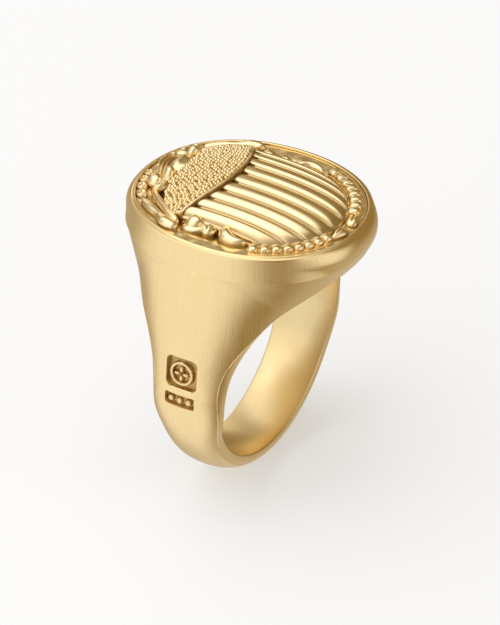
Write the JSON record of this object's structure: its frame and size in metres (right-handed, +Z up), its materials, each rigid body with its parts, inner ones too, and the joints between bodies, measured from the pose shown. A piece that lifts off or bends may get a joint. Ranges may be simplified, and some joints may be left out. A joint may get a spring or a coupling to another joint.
{
  "type": "signet ring",
  "caption": "Heavy oval signet ring in yellow gold with a beetle crest in high relief, ribbed wing case, grained shield and ornamental border.",
  "frame": {"origin": "centre of the finger bore", "axes": "+Y along the finger axis towards the beetle's head, +Z up through the middle of the crest, +X across the finger"},
  "size_m": [0.0234, 0.022, 0.0277],
  "materials": {
    "satin_gold": "brushed satin",
    "polished_gold": "polished",
    "grained_gold": "grained"
  },
  "bodies": {
    "root": {"shank": "satin_gold", "thorax_shield": "grained_gold", "bezel_rim": "polished_gold", "crest_plate": "polished_gold", "wing_case": "polished_gold", "head_shield": "polished_gold", "eye_left": "polished_gold", "eye_right": "polished_gold", "foreleg_left": "polished_gold", "foreleg_right": "polished_gold", "side_scroll_left": "polished_gold", "side_scroll_right": "polished_gold", "drop_left": "polished_gold", "drop_right": "polished_gold", "small_leaf_left": "polished_gold", "small_leaf_right": "polished_gold", "hind_leg_left": "polished_gold", "hind_leg_right": "polished_gold", "bead_chain_left": "polished_gold", "bead_chain_right": "polished_gold", "tail_leaf_left": "polished_gold", "tail_leaf_right": "polished_gold"}
  },
  "joints": []
}
